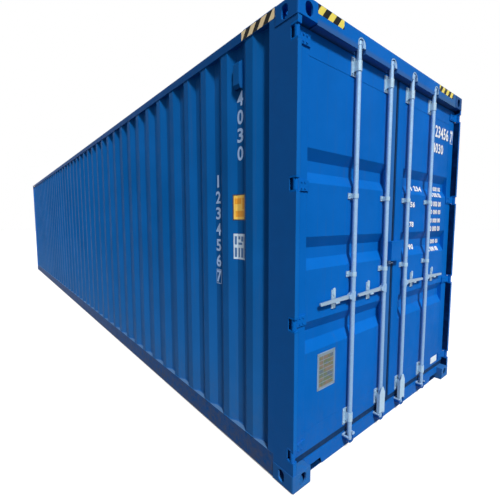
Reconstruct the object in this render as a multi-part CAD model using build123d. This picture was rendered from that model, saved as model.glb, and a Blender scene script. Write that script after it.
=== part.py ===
from build123d import *
import os
from math import cos, hypot, radians, sin

# A 40 ft high cube dry freight container with two doors and four locking bars.
# Row frame: origin at the centre of the footprint, +X towards the doors, +Z up. Millimetres.

# Overall size and the corner castings
length = 12192
width = 2438
height = 2896
casting_length = 178
casting_width = 162
casting_height = 118
casting_plate = 28
casting_wall = 14
casting_inner_wall = 10
casting_round = 14
aperture_from_end = 103.5
aperture_from_side = 89.5
aperture_length = 124
aperture_width = 63.5
side_hole_width = 51
end_hole_width = 63.5
hole_height = 79.5

# Steel sections of the frame
face_setback = 3
roof_setback = 6
base_clearance = 12.5
bottom_rail_height = 158
bottom_rail_top_flange = 46
bottom_rail_bottom_flange = 30
bottom_rail_plate = 4.5
top_rail_size = 60
top_rail_plate = 3
post_plate = 6
rear_post_length = 226
rear_post_depth = 46
jamb_strip = 32
front_post_leg = 175
front_post_depth = 46
end_rail_plate = 4
front_sill_length = 50
front_header_length = 60

# Door end: depths behind the end face, heights above the base, drops below the top
door_recess = 53
seat_recess = 121
header_length = 178
header_drop = 141
header_face_drop = 124
header_end_gap = 0.5
sill_length = 216
sill_face_bottom = 13
sill_face_top = 122
sill_top = 170
sill_notch_height = 47
sill_notch_width = 165
sill_notch_slant = 25

# Corrugated sheets: flat on the outer face, slope, flat on the inner face, depth
sheet = 2
wall_setback = 2.5
wall_outer_flat = 72
wall_slope = 68
wall_inner_flat = 70
wall_depth = 36
wall_end_flat = 88
front_outer_flat = 104
front_slope = 18
front_inner_flat = 110
front_depth = 45
roof_outer_flat = 91
roof_slope = 13.5
roof_inner_flat = 91
roof_depth = 20
roof_plate = 3
roof_plate_length = 300

# Base: floor, cross members and gooseneck tunnel
floor_thickness = 28
floor_gap = 2
floor_rows = 5
floor_strip = 50
member_height = 122
member_top_flange = 45
member_bottom_flange = 40
member_plate = 4
member_pitch = 288
tunnel_length = 3315
tunnel_width = 1029
tunnel_plate = 4
tunnel_flange = 50
tunnel_foot = 16
tunnel_fit = 0.5

# Door leaves
leaf_bottom = 176
leaf_drop = 133
leaf_depth = 50
leaf_jamb_gap = 6
seam_gap = 44
stile_width = 110
rail_height = 140
leaf_tube = 3.2
panel_inset = 1
trough_count = 3
trough_pitch = 533
trough_depth = 36
trough_flat = 70
trough_slope = 68
gasket_gap = 0.3
gasket_reach = 44
gasket_top_reach = 4
gasket_jamb_reach = 2
gasket_width = 30
gasket_seam_gap = 10
gasket_lip_recess = 5

# Hinges
hinge_count = 4
hinge_from_end = 64
hinge_pin_x = 24
hinge_pin_y = 19
hinge_pin_radius = 8
hinge_notch_height = 92
hinge_notch_length = 52
hinge_lug = 12
knuckle_radius = 15
knuckle_gap = 1
pin_clearance = 0.3
blade_thickness = 8
blade_length = 115
blade_bend = 28
blade_end_x = 12
blade_end_y = 7

# Locking bars, cams and keepers
bar_places = (172, 600)
bar_recess = 23
bar_radius = 17
bar_tube = 3.2
bar_bottom = 80
cam_height = 22
cam_inset = 4
cam_toe = 22
cam_toe_width = 14
cam_collar = 2
keeper_drop = 36
keeper_back = 4
keeper_height = 60
keeper_half_width = 46
keeper_wall = 8
keeper_lip = 20
keeper_gap = 10
keeper_front_gap = 2
keeper_fit = 0.3
bar_clearance = 0.3

# Bar brackets
end_bracket_from_end = 77
end_bracket_width = 92
end_bracket_height = 120
end_strap_height = 64
lower_guide_rise = 155
upper_guide_rise = 370
guide_width = 92
guide_height = 40
guide_strap_height = 30
bracket_plate = 6
strap = 4
guard_drop = 48
guard_height = 208
guard_width = 80
guard_flange = 25
guard_cut_width = 28
guard_cut_height = 52

# Handles, their hubs and retainers
handle_level = 1145
hub_height = 64
hub_radius = 21
fork_round = 18
cheek_thickness = 6
cheek_gap = 1
handle_pin_place = 38
handle_pin_radius = 6
handle_thickness = 12
handle_stations = ((38, 0, 13), (85, 0, 14), (185, -2, 12), (352, -6, 10))
retainer_place = 188
retainer_width = 44
retainer_above = 66
retainer_below = 62
ledge_width = 40
ledge_thickness = 8
catch_length = 52
catch_width = 26

# Lock box over the seam
box_bottom = 1352
box_top = 1508
box_left = -100
box_right = 60
box_plate = 4
box_gap = 5

# Ventilators on the side walls
vent_width = 64
vent_height = 190
vent_drop = 82
vent_wall = 3
vent_mouth = 12
vent_mouth_height = 24
vent_hood_height = 30

# Places worked out from the sizes above
end_face = length / 2
side_face = width / 2
frame_side = side_face - face_setback
roof_top = height - roof_setback
casting_inner_x = end_face - casting_length
casting_inner_y = side_face - casting_width
rail_top = base_clearance + bottom_rail_height
top_rail_bottom = roof_top - top_rail_size
floor_top = rail_top
floor_bottom = floor_top - floor_thickness
member_bottom = floor_bottom - member_height
post_front = end_face - face_setback - 1
post_back = post_front - rear_post_length
jamb_face = frame_side - jamb_strip
seat_x = end_face - seat_recess
post_inner = frame_side - rear_post_depth
front_post_end = -(end_face - face_setback) + front_post_leg
beam_face = end_face - door_recess
header_face = end_face - face_setback
header_bottom = height - header_drop
header_face_bottom = height - header_face_drop
leaf_top = height - leaf_drop
leaf_middle = (leaf_bottom + leaf_top) / 2
leaf_front = beam_face
leaf_back = leaf_front - leaf_depth
leaf_outer = jamb_face - leaf_jamb_gap
leaf_inner = seam_gap / 2
pin_x = end_face - hinge_pin_x
pin_y = side_face - hinge_pin_y
hinge_step = (leaf_top - leaf_bottom - 2 * hinge_from_end) / (hinge_count - 1)
hinge_levels = [leaf_bottom + hinge_from_end + i * hinge_step for i in range(hinge_count)]
trough_levels = [
    leaf_middle + (i - (trough_count - 1) / 2) * trough_pitch for i in range(trough_count)
]
bar_x = end_face - bar_recess
keeper_top = height - keeper_drop
keeper_front = bar_x + bar_radius + keeper_front_gap
bar_top = keeper_top - keeper_wall - keeper_gap
end_bracket_levels = (leaf_bottom + end_bracket_from_end, leaf_top - end_bracket_from_end)
guide_levels = (handle_level + lower_guide_rise, leaf_middle + upper_guide_rise)


def polygon(points):
    """A flat face from corner points in space."""
    return make_face(Polyline(*points, close=True))


def prism_x(points, x0, x1):
    """An outline of y, z points carried along X."""
    return extrude(polygon([(x0, y, z) for y, z in points]), x1 - x0, dir=(1, 0, 0))


def prism_y(points, y0, y1):
    """An outline of x, z points carried along Y."""
    return extrude(polygon([(x, y0, z) for x, z in points]), y1 - y0, dir=(0, 1, 0))


def prism_z(points, z0, z1):
    """An outline of x, y points carried along Z."""
    return extrude(polygon([(x, y, z0) for x, y in points]), z1 - z0, dir=(0, 0, 1))


def block(x0, x1, y0, y1, z0, z1):
    """A box between two corners."""
    return prism_z([(x0, y0), (x1, y0), (x1, y1), (x0, y1)], z0, z1)


def upright(x, y, radius, z0, z1):
    """A vertical cylinder."""
    return Pos(x, y, (z0 + z1) / 2) * Cylinder(radius, z1 - z0)


def mirrored(shape):
    """The same shape on the other side of the container."""
    return shape.mirror(Plane.XZ)


def shifted(points, amount, closed=False):
    """A line's points moved to its left by an amount, with mitred corners."""
    count = len(points)
    moved = []
    for i, (u, v) in enumerate(points):
        normals = []
        for start, end in ((i - 1, i), (i, i + 1)):
            if closed or (start >= 0 and end < count):
                (u0, v0), (u1, v1) = points[start], points[end % count]
                run = hypot(u1 - u0, v1 - v0)
                normals.append(((v0 - v1) / run, (u1 - u0) / run))
        nu = sum(n[0] for n in normals)
        nv = sum(n[1] for n in normals)
        scale = amount * len(normals) / (nu * nu + nv * nv)
        moved.append((u + nu * scale, v + nv * scale))
    return moved


def folded(points, thickness):
    """The outline of a folded plate: a line and the same line moved to its left."""
    return points + shifted(points, thickness)[::-1]


def tube_z(points, wall, z0, z1):
    """A hollow vertical section from its outer points, counter-clockwise."""
    return prism_z(points, z0, z1) - prism_z(shifted(points, wall, closed=True), z0, z1)


def tube_y(points, wall, y0, y1):
    """A hollow section across the container from its outer points, counter-clockwise."""
    return prism_y(points, y0, y1) - prism_y(shifted(points, wall, closed=True), y0, y1)


def tube_x(points, wall, x0, x1):
    """A hollow section along the container from its outer points, counter-clockwise."""
    return prism_x(points, x0, x1) - prism_x(shifted(points, wall, closed=True), x0, x1)


def waves(start, end, first_flat, outer_flat, slope, inner_flat, depth):
    """A trapezoid wave that starts and ends on the inner level: place and inward depth."""
    points = [(start, depth)]
    place = start + first_flat
    step = outer_flat + 2 * slope + inner_flat
    while place + 2 * slope + outer_flat < end:
        points += [(place, depth), (place + slope, 0)]
        points += [(place + slope + outer_flat, 0), (place + 2 * slope + outer_flat, depth)]
        place += step
    points.append((end, depth))
    return points


def save(node, *shapes):
    """Write the solids of one node."""
    solids = [solid for shape in shapes for solid in shape.solids()]
    export_step(Compound(solids), f"parts/{node}.step")


def bottom_casting():
    """The bottom corner casting at +X, +Y: a hollow box with three apertures."""
    x0, y0 = casting_inner_x, casting_inner_y
    body = block(x0, end_face, y0, side_face, 0, casting_height)
    hollow = block(
        x0 + casting_inner_wall, end_face - casting_wall,
        y0 + casting_inner_wall, side_face - casting_wall,
        casting_plate, casting_height - casting_inner_wall,
    )
    corner = [e for e in body.edges() if touches_outer_corner(e)]
    body = fillet(corner, casting_round) - hollow
    hole_x = end_face - aperture_from_end
    hole_y = side_face - aperture_from_side
    hole_z = casting_plate + hole_height / 2
    down = Plane((hole_x, hole_y, -1), x_dir=(1, 0, 0), z_dir=(0, 0, 1))
    side = Plane((hole_x, side_face + 1, hole_z), x_dir=(0, 0, 1), z_dir=(0, -1, 0))
    end = Plane((end_face + 1, hole_y, hole_z), x_dir=(0, 0, 1), z_dir=(-1, 0, 0))
    body -= extrude(down * SlotOverall(aperture_length, aperture_width), casting_plate + 2)
    body -= extrude(side * SlotOverall(hole_height, side_hole_width), casting_wall + 2)
    body -= extrude(end * SlotOverall(hole_height, end_hole_width), casting_wall + 2)
    return body


def touches_outer_corner(edge):
    """True for the three edges that meet at a casting's outermost corner."""
    outer = Vector(end_face, side_face, 0)
    return min((v.center() - outer).length for v in edge.vertices()) < 1


def four_corners(shape):
    """A +X, +Y piece and its copies at the other three corners."""
    pair = [shape, mirrored(shape)]
    return pair + [piece.mirror(Plane.YZ) for piece in pair]


def corner_castings():
    bottom = bottom_casting()
    top = bottom.mirror(Plane.XY).translate((0, 0, height))
    save("bottom_corner_castings", *four_corners(bottom))
    save("top_corner_castings", *four_corners(top))


def rear_posts():
    """Hollow posts that form the door jamb, notched where the hinges sit."""
    outline = [
        (post_back, post_inner), (seat_x, post_inner), (seat_x, jamb_face),
        (post_front, jamb_face), (post_front, frame_side), (post_back, frame_side),
    ]
    post = tube_z(outline, post_plate, casting_height, top_rail_bottom)
    post -= block(post_back - 1, casting_inner_x, post_inner - 1, side_face, 0, rail_top)
    post -= block(casting_inner_x, end_face, 0, side_face, height - casting_height, height)
    for level in hinge_levels:
        low = level - hinge_notch_height / 2
        high = level + hinge_notch_height / 2
        post -= block(post_front - hinge_notch_length, end_face, post_inner, side_face, low, high)
    save("rear_corner_posts", post, mirrored(post))


def hinge_lugs():
    """Two lugs and the pin of each hinge, on both rear posts."""
    pieces = []
    x0 = post_front - hinge_notch_length
    for level in hinge_levels:
        low = level - hinge_notch_height / 2
        high = level + hinge_notch_height / 2
        lugs = block(x0, post_front, jamb_face, frame_side, low, low + hinge_lug)
        lugs += block(x0, post_front, jamb_face, frame_side, high - hinge_lug, high)
        pieces.append(lugs + upright(pin_x, pin_y, hinge_pin_radius, low, high))
    save("hinge_lugs", *pieces, *[mirrored(p) for p in pieces])


def front_posts():
    """Angle-shaped hollow posts at the closed end."""
    face = -(end_face - face_setback)
    outline = [
        (face, casting_inner_y), (face + front_post_depth, casting_inner_y),
        (face + front_post_depth, frame_side - front_post_depth),
        (front_post_end, frame_side - front_post_depth),
        (front_post_end, frame_side), (face, frame_side),
    ]
    post = tube_z(outline, post_plate, casting_height, height - casting_height)
    save("front_corner_posts", post, mirrored(post))


def side_rails():
    """Bottom channels and top tubes along both sides, between the castings."""
    low = folded(
        [
            (frame_side - bottom_rail_bottom_flange, base_clearance),
            (frame_side, base_clearance),
            (frame_side, rail_top),
            (frame_side - bottom_rail_top_flange, rail_top),
        ],
        bottom_rail_plate,
    )
    bottom = prism_x(low, -casting_inner_x, casting_inner_x)
    inner = frame_side - top_rail_size
    high = [
        (inner, top_rail_bottom), (frame_side, top_rail_bottom),
        (frame_side, roof_top), (inner, roof_top),
    ]
    top = tube_x(high, top_rail_plate, -casting_inner_x, casting_inner_x)
    save("bottom_side_rails", bottom, mirrored(bottom))
    save("top_side_rails", top, mirrored(top))


def arch(y, half, z0, z1, x0, x1):
    """An upright piece with a half-round top, carried along X."""
    middle = Plane((x0, y, z1 - half), x_dir=(0, 1, 0), z_dir=(1, 0, 0))
    crown = extrude(middle * Circle(half), x1 - x0)
    crown -= block(x0, x1, y - half, y + half, z1 - 2 * half, z1 - half)
    return crown + block(x0, x1, y - half, y + half, z0, z1 - half)


def door_header():
    """A hollow beam over the doors with an arched pocket for each keeper and a seat behind."""
    back = end_face - header_length
    outline = [
        (back, header_bottom), (seat_x, header_bottom), (seat_x, header_face_bottom),
        (header_face, header_face_bottom), (header_face, roof_top), (back, roof_top),
    ]
    beam = tube_y(outline, end_rail_plate, -casting_inner_y, casting_inner_y)
    z0 = header_face_bottom
    z1 = keeper_top + keeper_fit
    half = keeper_half_width + keeper_fit
    plate = end_rail_plate
    for place in (*bar_places, *[-place for place in bar_places]):
        beam += arch(place, half + plate, z0, z1 + plate, beam_face - plate, header_face)
        beam -= arch(place, half, z0 - 1, z1, beam_face, end_face)
    under = height - casting_height
    ledge = folded([(back, header_bottom), (seat_x, header_bottom), (seat_x, under)], plate)
    end = prism_y(ledge, casting_inner_y + header_end_gap, post_inner)
    save("door_header", beam, end, mirrored(end))


def door_sill():
    """A hollow beam under the doors, its face notched beside the castings."""
    back = end_face - sill_length
    outline = [
        (back, sill_face_bottom), (beam_face, sill_face_bottom), (beam_face, sill_face_top),
        (seat_x, sill_face_top), (seat_x, sill_top), (back, sill_top),
    ]
    beam = tube_y(outline, end_rail_plate, -casting_inner_y, casting_inner_y)
    over = casting_height
    ledge = folded([(seat_x, over), (seat_x, sill_top), (back, sill_top)], end_rail_plate)
    ends = prism_y(ledge, casting_inner_y, post_inner)
    top = sill_face_bottom + sill_notch_height
    notch = prism_x(
        [
            (casting_inner_y + 1, 0), (casting_inner_y + 1, top),
            (casting_inner_y - sill_notch_width, top),
            (casting_inner_y - sill_notch_width - sill_notch_slant, 0),
        ],
        beam_face - end_rail_plate, end_face,
    )
    beam -= notch
    beam -= mirrored(notch)
    save("door_sill", beam + ends + mirrored(ends))


def front_beams():
    """Header and sill of the closed end; the sill bridges the gooseneck tunnel."""
    face = -(end_face - face_setback)
    inner = face + front_sill_length
    outline = [
        (face, base_clearance), (inner, base_clearance), (inner, rail_top), (face, rail_top),
    ]
    sill = tube_y(outline, end_rail_plate, -casting_inner_y, casting_inner_y)
    half = tunnel_width / 2 + tunnel_plate
    sill -= block(face - 1, inner + 1, -half, half, 0, floor_bottom)
    save("front_sill", sill)
    inner = face + front_header_length
    outline = [
        (face, top_rail_bottom), (inner, top_rail_bottom), (inner, roof_top), (face, roof_top),
    ]
    header = tube_y(outline, end_rail_plate, -casting_inner_y, casting_inner_y)
    save("front_header", header)


def side_walls():
    """Corrugated sheets between the posts, on the bottom rails and under the top rails."""
    outer = frame_side - wall_setback
    start = -post_back
    end = -front_post_end
    line = waves(
        start, end, wall_end_flat, wall_outer_flat, wall_slope, wall_inner_flat, wall_depth
    )
    points = [(-place, outer - inward) for place, inward in line]
    wall = prism_z(folded(points, sheet), rail_top, top_rail_bottom)
    save("right_side_wall", wall)
    save("left_side_wall", mirrored(wall))


def front_wall():
    """The corrugated sheet of the closed end."""
    outer = -(end_face - face_setback) + 1
    pitch = front_outer_flat + 2 * front_slope + front_inner_flat
    count = int(2 * casting_inner_y // pitch)
    first = casting_inner_y - (count * pitch - front_inner_flat) / 2
    line = waves(
        -casting_inner_y, casting_inner_y, first,
        front_outer_flat, front_slope, front_inner_flat, front_depth,
    )
    points = [(outer + inward, place) for place, inward in line]
    save("front_wall", prism_z(folded(points, -sheet), rail_top, top_rail_bottom))


def roof():
    """Cross-corrugated roof sheet between the top rails and the end beams."""
    start = -(end_face - face_setback) + front_header_length
    end = end_face - header_length
    line = waves(
        start, end, roof_inner_flat, roof_outer_flat, roof_slope, roof_inner_flat, roof_depth
    )
    points = [(place, roof_top - inward) for place, inward in line]
    inner = frame_side - top_rail_size
    sheet_body = prism_y(folded(points, -sheet), -inner, inner)
    corner = block(
        -end_face, -casting_inner_x, casting_inner_y, side_face,
        height - casting_height, height,
    )
    save("roof", sheet_body - corner - mirrored(corner))


def roof_corner_plates():
    """Plates that guard the roof beside the top castings."""
    inner = frame_side - top_rail_size
    plate = block(
        casting_inner_x - roof_plate_length, casting_inner_x,
        inner - roof_plate_length, frame_side,
        roof_top, roof_top + roof_plate,
    )
    save("roof_corner_plates", *four_corners(plate))


def floor():
    """Plywood boards in two columns beside a steel strip."""
    start = -(end_face - face_setback) + front_sill_length + floor_gap
    end = end_face - sill_length - floor_gap
    edge = frame_side - bottom_rail_top_flange - floor_gap
    half_strip = floor_strip / 2
    run = (end - start + floor_gap) / floor_rows
    boards = [block(start, end, -half_strip, half_strip, floor_bottom, floor_top)]
    for row in range(floor_rows):
        x0 = start + row * run
        board = block(
            x0, x0 + run - floor_gap, half_strip + floor_gap, edge, floor_bottom, floor_top
        )
        boards += [board, mirrored(board)]
    save("floor", *boards)


def member(x, y0, y1):
    """A channel across the base with its web at x and its flanges towards -X."""
    profile = folded(
        [
            (x - member_bottom_flange, member_bottom), (x, member_bottom),
            (x, floor_bottom), (x - member_top_flange, floor_bottom),
        ],
        member_plate,
    )
    return prism_y(profile, y0, y1)


def base():
    """Cross members behind the tunnel, outriggers beside it and the tunnel itself."""
    reach = frame_side - bottom_rail_plate
    tunnel_end = -end_face + tunnel_length
    first = end_face - sill_length - member_pitch
    members = []
    outriggers = []
    x = first
    half = tunnel_width / 2 + tunnel_plate
    while x > tunnel_end + member_top_flange:
        members.append(member(x, -reach, reach))
        x -= member_pitch
    members.append(member(tunnel_end + member_top_flange, -reach, reach))
    x = tunnel_end - member_pitch / 2
    last = -(end_face - face_setback) + front_sill_length + member_top_flange
    while x > last:
        arm = member(x, half, reach)
        outriggers += [arm, mirrored(arm)]
        x -= member_pitch
    save("cross_members", *members)
    save("tunnel_outriggers", *outriggers)
    gooseneck_tunnel(tunnel_end)


def gooseneck_tunnel(tunnel_end):
    """The plates of the tunnel: a top sheet and two sides with feet turned outwards."""
    face = -(end_face - face_setback)
    behind_sill = face + front_sill_length + tunnel_fit
    inner = tunnel_width / 2
    outer = inner + tunnel_plate
    under = floor_bottom - tunnel_plate
    top = block(face, tunnel_end, -outer, outer, under, floor_bottom)
    side = block(face, tunnel_end, inner, outer, tunnel_foot, under)
    side += block(
        behind_sill, tunnel_end, outer, outer + tunnel_flange,
        tunnel_foot, tunnel_foot + tunnel_plate,
    )
    save("tunnel_top", top)
    save("tunnel_sides", side, mirrored(side))


def keeper(y):
    """A top cam keeper: an arched hood, open below and in front, with a lip over the cam's toe."""
    z1 = keeper_top
    z0 = z1 - keeper_height
    w = keeper_half_width
    inner = w - keeper_wall
    body = arch(y, w, z0, z1, beam_face, keeper_front)
    body -= arch(y, inner, z0 - 1, z1 - keeper_wall, beam_face + keeper_back, end_face)
    lip_x = keeper_front - keeper_wall
    lip = arch(y, w, z0, z1, lip_x, keeper_front)
    return body + (lip - block(lip_x, keeper_front, y - inner + keeper_lip, y + w, z0, z1))


def cam_keepers():
    """Keepers in the header's pockets and, upside down, on the sill."""
    tops = [keeper(place) for place in bar_places]
    tops += [mirrored(piece) for piece in tops]
    middle = bar_top + bar_bottom
    bottoms = [piece.mirror(Plane.XY).translate((0, 0, middle)) for piece in tops]
    save("header_cam_keepers", *tops)
    save("sill_cam_keepers", *bottoms)


def ventilators():
    """Hooded vents in a wall flat near the roof, one on each side."""
    back = frame_side - wall_setback - wall_depth
    front = frame_side - wall_setback
    pitch = wall_outer_flat + 2 * wall_slope + wall_inner_flat
    start = post_back - wall_end_flat
    centre = start - 2 * wall_slope - wall_outer_flat - wall_inner_flat / 2
    z1 = top_rail_bottom - vent_drop
    z0 = z1 - vent_height
    half = vent_width / 2
    outline = [
        (back, z0), (front - vent_mouth, z0), (front, z0 + vent_mouth_height),
        (front, z1 - vent_hood_height), (back, z1),
    ]
    hollow = [
        (back - 1, z0 - 1), (front - vent_mouth - vent_wall, z0 - 1),
        (front - vent_wall, z0 + vent_mouth_height),
        (front - vent_wall, z1 - vent_hood_height), (back - 1, z1 - vent_wall),
    ]
    hood = prism_x(outline, centre - half, centre + half)
    hood -= prism_x(hollow, centre - half + vent_wall, centre + half - vent_wall)
    count = int((post_back - front_post_end - wall_end_flat) // pitch) - 2
    far = hood.translate((-count * pitch, 0, 0))
    save("ventilators", mirrored(hood), far)


def door_leaf():
    """Frame pieces of the right leaf: two tube stiles and two channel rails."""
    stiles = []
    for y0, y1 in ((leaf_inner, leaf_inner + stile_width), (leaf_outer - stile_width, leaf_outer)):
        outline = [(leaf_back, y0), (leaf_front, y0), (leaf_front, y1), (leaf_back, y1)]
        stiles.append(tube_z(outline, leaf_tube, leaf_bottom, leaf_top))
    y0 = leaf_inner + stile_width
    y1 = leaf_outer - stile_width
    rails = []
    for z0 in (leaf_bottom, leaf_top - rail_height):
        z1 = z0 + rail_height
        outline = folded(
            [(leaf_back, z0), (leaf_front, z0), (leaf_front, z1), (leaf_back, z1)], leaf_tube
        )
        rails.append(prism_y(outline, y0, y1))
    return stiles + rails


def door_panel():
    """The pressed sheet of the right leaf, with three horizontal troughs."""
    front = leaf_front - panel_inset
    points = [(front, leaf_bottom + rail_height)]
    for level in trough_levels:
        half = trough_flat / 2
        points += [
            (front, level - half - trough_slope), (front - trough_depth, level - half),
            (front - trough_depth, level + half), (front, level + half + trough_slope),
        ]
    points.append((front, leaf_top - rail_height))
    return prism_y(folded(points, sheet), leaf_inner + stile_width, leaf_outer - stile_width)


def door_gasket():
    """The rubber frame behind the right leaf, with lips that fill the seam and the gap below."""
    x0 = seat_x + gasket_gap
    y0, y1 = gasket_seam_gap / 2, leaf_outer + gasket_jamb_reach
    z0, z1 = leaf_bottom - gasket_reach, leaf_top + gasket_top_reach
    ring = block(x0, leaf_back, y0, y1, z0, z1)
    w = gasket_width
    ring -= block(x0, leaf_back, y0 + w, y1 - w, leaf_bottom + w, leaf_top - w)
    lip_front = leaf_front - gasket_lip_recess
    ring += block(leaf_back, lip_front, y0, leaf_inner, z0, leaf_top)
    return ring + block(leaf_back, lip_front, leaf_inner, leaf_outer, z0, leaf_bottom)


def door_hinges():
    """Blades on the right leaf, bent forward to knuckles round the hinge pins."""
    plan = folded(
        [
            (leaf_front, leaf_outer - blade_length),
            (leaf_front, leaf_outer - blade_bend),
            (pin_x - blade_end_x, pin_y - blade_end_y),
        ],
        -blade_thickness,
    )
    pieces = []
    for level in hinge_levels:
        half = hinge_notch_height / 2 - hinge_lug - knuckle_gap
        z0 = level - half
        z1 = level + half
        piece = prism_z(plan, z0, z1) + upright(pin_x, pin_y, knuckle_radius, z0, z1)
        piece -= upright(pin_x, pin_y, hinge_pin_radius + pin_clearance, z0 - 1, z1 + 1)
        pieces.append(piece)
    return pieces


def bracket_seat(y, level, width, tall):
    """The plate on the leaf that carries a strap."""
    half = tall / 2
    return block(
        leaf_front, leaf_front + bracket_plate, y - width / 2, y + width / 2,
        level - half, level + half,
    )


def bar_strap(y, level, tall):
    """A U strap round a locking bar, on its plate."""
    inner = bar_radius + bar_clearance
    outer = inner + strap
    x1 = leaf_front + bracket_plate
    low = level - tall / 2
    high = level + tall / 2
    loop = upright(bar_x, y, outer, low, high)
    loop += block(x1, bar_x, y - outer, y + outer, low, high)
    loop -= upright(bar_x, y, inner, low, high)
    return loop - block(x1, bar_x, y - inner, y + inner, low, high)


def bar_guard(y):
    """A flanged plate over the lower end of an inner bar, its upper corners cut off."""
    x1 = bar_x + bar_radius + bar_clearance + strap
    x0 = x1 - strap
    z0 = leaf_bottom - guard_drop
    z1 = z0 + guard_height
    shoulder = z1 - guard_cut_height
    w = guard_width / 2
    top = w - guard_cut_width
    outline = [
        (y - w, z0), (y + w, z0), (y + w, shoulder), (y + top, z1), (y - top, z1), (y - w, shoulder),
    ]
    guard = prism_x(outline, x0, x1)
    guard += block(x1 - guard_flange, x0, y - w, y - w + strap, z0, shoulder)
    return guard + block(x1 - guard_flange, x0, y + w - strap, y + w, z0, shoulder)


def bar_brackets():
    """End brackets, mid guides and the lower guards of the right leaf's bars."""
    pieces = []
    for place in bar_places:
        for level in end_bracket_levels:
            piece = bracket_seat(place, level, end_bracket_width, end_bracket_height)
            piece += bar_strap(place, level, end_strap_height)
            if place == min(bar_places) and level < leaf_middle:
                piece += bar_guard(place)
            pieces.append(piece)
        for level in guide_levels:
            seat = bracket_seat(place, level, guide_width, guide_height)
            pieces.append(seat + bar_strap(place, level, guide_strap_height))
    return pieces


def handle_retainers():
    """Plates with a ledge under each handle and a turned-up catch above it."""
    pieces = []
    x1 = leaf_front + bracket_plate
    half = retainer_width / 2
    for place in bar_places:
        y = place + retainer_place
        body = block(
            leaf_front, x1, y - half, y + half,
            handle_level - retainer_below, handle_level + retainer_above,
        )
        top = handle_level + handle_bottom(retainer_place + ledge_width / 2) - bar_clearance
        body += block(
            x1, bar_x + handle_thickness, y - ledge_width / 2, y + ledge_width / 2,
            top - ledge_thickness, top,
        )
        catch_z = handle_level + retainer_above - catch_width / 2
        catch = Plane((x1, y, catch_z), x_dir=(0, 0, 1), z_dir=(1, 0, 0))
        body += extrude(catch * SlotOverall(catch_length, catch_width), bracket_plate)
        pieces.append(body)
    return pieces


def handle_bottom(place):
    """Height of a handle's lower edge against its pin, at a distance from the bar."""
    for (u0, z0, h0), (u1, z1, h1) in zip(handle_stations, handle_stations[1:]):
        if place <= u1:
            share = (place - u0) / (u1 - u0)
            return z0 - h0 + share * ((z1 - h1) - (z0 - h0))
    return z1 - h1


def locking_bar(place):
    """A tube with a toed cam at each end and the fork that carries the handle."""
    bar = upright(bar_x, place, bar_radius, bar_bottom, bar_top)
    for z0 in (bar_bottom + cam_inset, bar_top - cam_inset - cam_height):
        z1 = z0 + cam_height
        bar += upright(bar_x, place, bar_radius + cam_collar, z0, z1)
        half = cam_toe_width / 2
        bar += block(
            bar_x - half, bar_x + half, place - cam_toe + half, place, z0, z1
        ) + upright(bar_x, place - cam_toe + half, half, z0, z1)
    h0 = handle_level - hub_height / 2
    h1 = handle_level + hub_height / 2
    bar += upright(bar_x, place, hub_radius, h0, h1)
    blade = handle_thickness / 2 + cheek_gap
    cheek = blade + cheek_thickness
    reach = place + handle_pin_place
    nose = Plane((bar_x - cheek, reach, handle_level), x_dir=(0, 1, 0), z_dir=(1, 0, 0))
    taper = [
        (place, h0), (reach, handle_level - fork_round),
        (reach, handle_level + fork_round), (place, h1),
    ]
    fork = prism_x(taper, bar_x - cheek, bar_x + cheek)
    fork += extrude(nose * Circle(fork_round), 2 * cheek)
    fork -= block(
        bar_x - blade, bar_x + blade, place + hub_radius, reach + fork_round + 1, h0, h1
    )
    fork += extrude(nose * Circle(handle_pin_radius), 2 * cheek)
    bar += fork
    bar -= upright(bar_x, place, bar_radius - bar_tube, bar_bottom - 1, bar_top + 1)
    return bar


def handle(place):
    """A forged lever that narrows from the hub to its grip."""
    upper = [(place + u, handle_level + z + h) for u, z, h in handle_stations]
    lower = [(place + u, handle_level + z - h) for u, z, h in handle_stations]
    x0 = bar_x - handle_thickness / 2
    body = prism_x(upper + lower[::-1], x0, x0 + handle_thickness)
    for u, z, h in (handle_stations[0], handle_stations[-1]):
        eye = Plane((x0, place + u, handle_level + z), x_dir=(0, 1, 0), z_dir=(1, 0, 0))
        body += extrude(eye * Circle(h), handle_thickness)
    pin = Plane(
        (x0 - 1, place + handle_pin_place, handle_level), x_dir=(0, 1, 0), z_dir=(1, 0, 0)
    )
    return body - extrude(pin * Circle(handle_pin_radius + pin_clearance), handle_thickness + 2)


def lock_box():
    """A steel cover on the right leaf that reaches over the seam, open below and behind."""
    x0 = leaf_front + box_gap
    x1 = keeper_front - keeper_front_gap
    p = box_plate
    box = block(x0, x1, box_left, box_right, box_bottom, box_top)
    box -= block(x0 - 1, x1 - p, box_left + p, box_right - p, box_bottom - 1, box_top - p)
    box += block(leaf_front, x0 + p, leaf_inner + p, box_right, box_bottom, box_top)
    return box


def doors():
    """Both leaves with what they carry; the left one is the right one's mirror image."""
    pieces = {
        "door_frame": door_leaf(),
        "door_panel": [door_panel()],
        "door_gasket": [door_gasket()],
        "door_hinges": door_hinges(),
        "bar_brackets": bar_brackets(),
        "handle_retainers": handle_retainers(),
        "inner_locking_bar": [locking_bar(bar_places[0])],
        "outer_locking_bar": [locking_bar(bar_places[1])],
        "inner_handle": [handle(bar_places[0])],
        "outer_handle": [handle(bar_places[1])],
    }
    for name, shapes in pieces.items():
        save(f"right_{name}", *shapes)
        save(f"left_{name}", *[mirrored(shape) for shape in shapes])
    save("lock_box", lock_box())


os.makedirs("parts", exist_ok=True)
corner_castings()
rear_posts()
hinge_lugs()
front_posts()
side_rails()
door_header()
door_sill()
front_beams()
side_walls()
front_wall()
roof()
roof_corner_plates()
floor()
base()
cam_keepers()
ventilators()
doors()
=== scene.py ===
import math

import bmesh
import bpy
from mathutils import Matrix, Vector


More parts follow.
